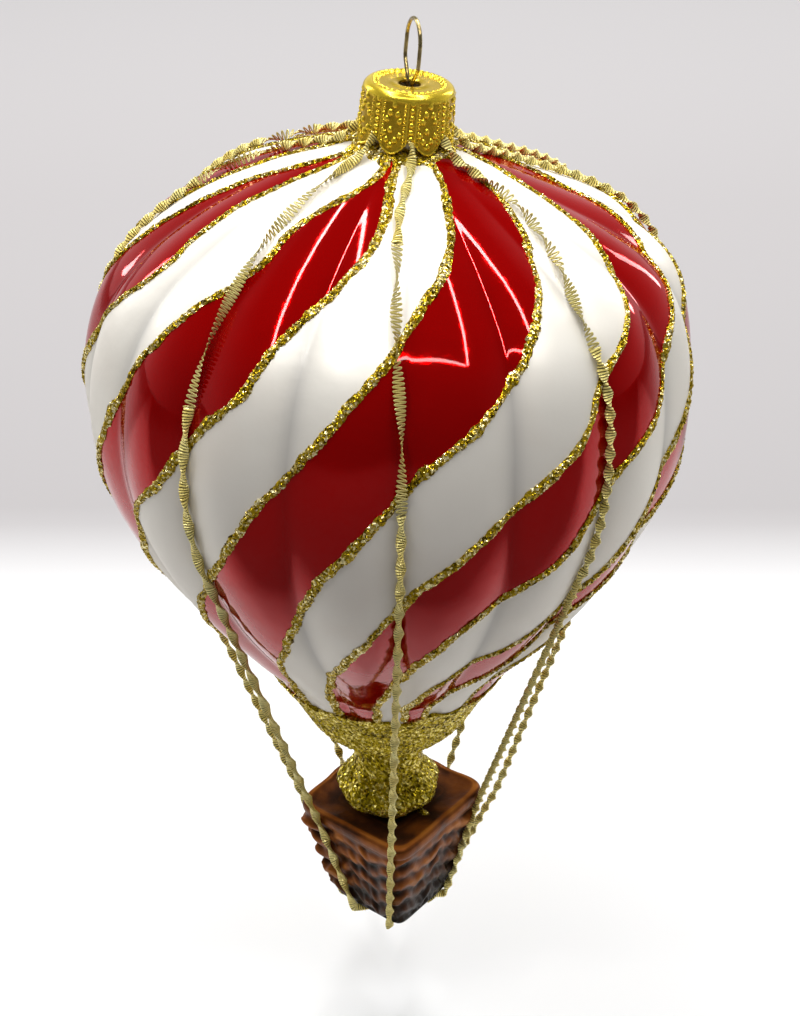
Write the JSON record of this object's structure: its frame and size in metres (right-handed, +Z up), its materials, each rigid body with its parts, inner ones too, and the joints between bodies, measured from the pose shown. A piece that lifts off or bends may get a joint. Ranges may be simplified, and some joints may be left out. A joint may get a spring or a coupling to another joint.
{
  "type": "hot air balloon glass ornament",
  "caption": "Blown-glass hanging ornament shaped like a hot air balloon: striped ribbed body, metal crown cap with wire loop, taut crimped wire stays and a small tapered basket.",
  "frame": {"origin": "inside of the hanging loop's top, where a hook bears", "axes": "+Z up, the way the ornament hangs; -Y is the front that the picture shows, with a corner of the basket; +X to its right"},
  "size_m": [0.0813, 0.0828, 0.1421],
  "materials": {
    "hanger_steel": "bright drawn wire",
    "cap_gold": "embossed, bright gold plated",
    "red_white_glass": "silvered inside, red lacquer and white stripes outside",
    "stay_gold": "finely crimped, bright",
    "gold_glitter": "coarse gold glitter in clear glue",
    "brown_lacquer": "brown to black lacquer, glossy"
  },
  "bodies": {
    "hanger": {"hanger_wire": "hanger_steel"},
    "cap": {"cap": "cap_gold"},
    "balloon": {"envelope": "red_white_glass", "collar": "gold_glitter", "neck": "gold_glitter", "glue_bead": "gold_glitter", "basket": "brown_lacquer", "stay_winding": "stay_gold", "stay_twist": "stay_gold", "stay_front": "stay_gold", "stay_front_right": "stay_gold", "stay_right": "stay_gold", "stay_back_right": "stay_gold", "stay_back": "stay_gold", "stay_back_left": "stay_gold", "stay_left": "stay_gold", "stay_front_left": "stay_gold"}
  },
  "joints": [
    {"name": "balloon_turn", "type": "hinge", "parent": "hanger", "child": "cap", "pos_m": [0, 0, 0], "axis": [0.0849, 0, 0.9964], "continuous": true},
    {"name": "pull_off", "type": "slide", "parent": "cap", "child": "balloon", "axis": [-0.0849, 0, -0.9964], "range_m": [0, 0.016]}
  ]
}
